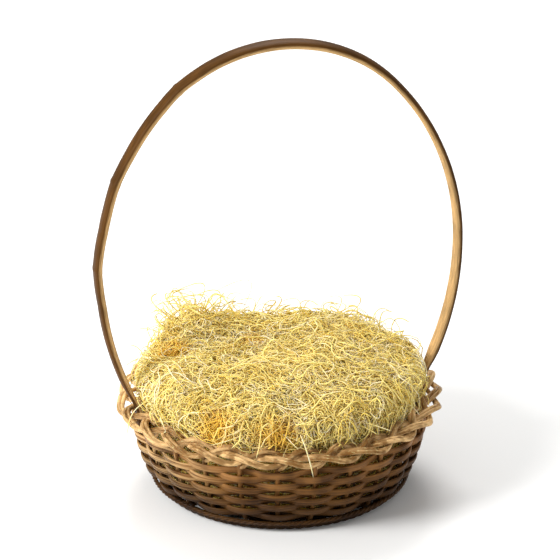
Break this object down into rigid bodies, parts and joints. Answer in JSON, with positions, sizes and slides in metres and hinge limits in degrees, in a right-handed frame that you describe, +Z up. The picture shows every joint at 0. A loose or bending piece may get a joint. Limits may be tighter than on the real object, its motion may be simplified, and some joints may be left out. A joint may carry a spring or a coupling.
{
  "type": "easter basket",
  "caption": "Round willow basket with rounded woven wall, plaited border, tall fixed bamboo hoop handle and a loose nest of wood-wool straw that lifts out.",
  "frame": {"origin": "centre of the foot ring on the surface that the basket stands on", "axes": "+Z up, +X along the span of the hoop handle, +Y across it towards the back"},
  "size_m": [0.274, 0.2384, 0.348],
  "materials": {
    "dark_willow": "satin",
    "brown_willow": "satin",
    "pale_willow": "satin",
    "bamboo": "satin",
    "wood_wool": "matte"
  },
  "bodies": {
    "basket": {"foot_ring": "dark_willow", "inner_base_weave": "dark_willow", "outer_base_weave": "dark_willow", "upsett_wale": "dark_willow", "pierced_base_stick_1": "dark_willow", "pierced_base_stick_2": "dark_willow", "pierced_base_stick_3": "dark_willow", "through_base_stick_1": "dark_willow", "through_base_stick_2": "dark_willow", "through_base_stick_3": "dark_willow", "stake_1": "dark_willow", "stake_2": "dark_willow", "stake_3": "dark_willow", "stake_4": "dark_willow", "stake_5": "dark_willow", "stake_6": "dark_willow", "stake_7": "dark_willow", "stake_8": "dark_willow", "stake_9": "dark_willow", "stake_10": "dark_willow", "stake_11": "dark_willow", "stake_12": "dark_willow", "stake_13": "dark_willow", "stake_14": "dark_willow", "stake_15": "dark_willow", "stake_16": "dark_willow", "stake_17": "dark_willow", "stake_18": "dark_willow", "stake_19": "dark_willow", "stake_20": "dark_willow", "stake_21": "dark_willow", "stake_22": "dark_willow", "weaver_row_1": "brown_willow", "weaver_row_2": "brown_willow", "weaver_row_3": "brown_willow", "weaver_row_4": "brown_willow", "weaver_row_5": "brown_willow", "weaver_row_6": "brown_willow", "weaver_row_7": "brown_willow", "weaver_row_8": "brown_willow", "weaver_row_9": "brown_willow", "border_strand_1": "pale_willow", "border_strand_2": "pale_willow", "border_strand_3": "pale_willow", "handle_hoop": "bamboo", "handle_peg_left": "brown_willow", "handle_peg_right": "brown_willow"},
    "straw": {"straw_nest": "wood_wool"}
  },
  "joints": [
    {"name": "straw_lift", "type": "slide", "parent": "basket", "child": "straw", "axis": [0, 0, 1], "range_m": [0, 0.08]}
  ]
}
